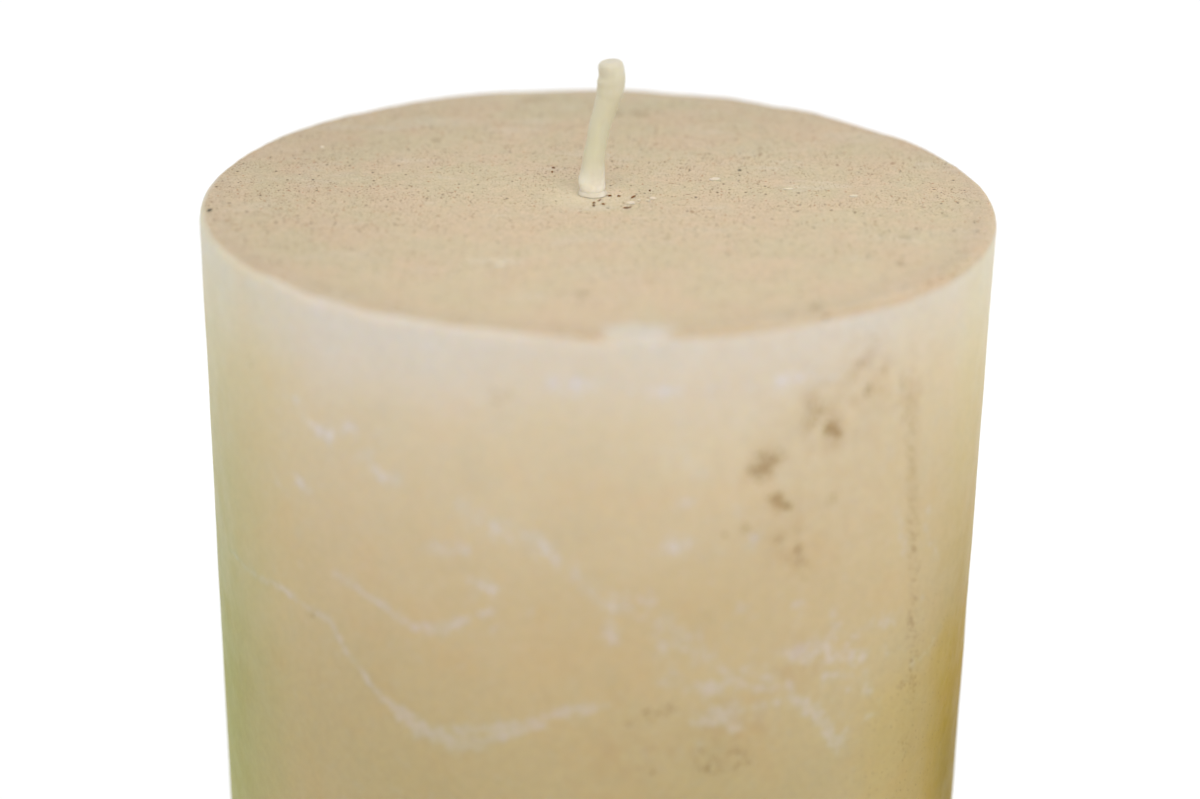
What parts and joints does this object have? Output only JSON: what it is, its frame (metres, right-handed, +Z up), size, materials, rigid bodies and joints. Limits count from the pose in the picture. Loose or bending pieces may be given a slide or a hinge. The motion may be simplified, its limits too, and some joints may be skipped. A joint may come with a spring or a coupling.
{
  "type": "unity candle",
  "caption": "Tall round pillar candle of ivory wax, with a crisp flat top, a short primed wick that bends, and a flat foot to stand on.",
  "frame": {"origin": "centre of the foot, on the table", "axes": "+Z up along the candle, -Y towards the front, +X to the right; the wick leans towards +X"},
  "size_m": [0.0762, 0.0762, 0.2418],
  "materials": {
    "dipped_wax": "satin ivory wax, paler at the rim and more honey coloured lower down, with dusty white scuffs",
    "pressed_wax": "matte pressed wax with a fine pearly grain",
    "tinplate": "dull stamped tinplate",
    "bead_wax": "set wax, pale and satin",
    "wick_wax": "thin smooth priming wax over cotton",
    "cotton": "flat plaited cotton, soaked with wax",
    "core_thread": "tightly twisted stiffening thread"
  },
  "bodies": {
    "candle": {"overdip_coat": "dipped_wax", "wax_core": "pressed_wax", "wick_sustainer": "tinplate", "sustainer_seal_bead": "bead_wax", "wick_foot_collar": "bead_wax", "wick_prime_coat": "wick_wax", "wick_cotton_braid": "cotton", "wick_core_thread": "core_thread"},
    "wick_tip": {"wick_tip_prime_coat": "wick_wax", "wick_tip_braid": "cotton", "wick_tip_core_thread": "core_thread"}
  },
  "joints": [
    {"name": "wick_bend", "type": "hinge", "parent": "candle", "child": "wick_tip", "pos_m": [-0.0005, 0, 0.231], "axis": [0, 1, 0], "range_deg": [-50, 38]}
  ]
}
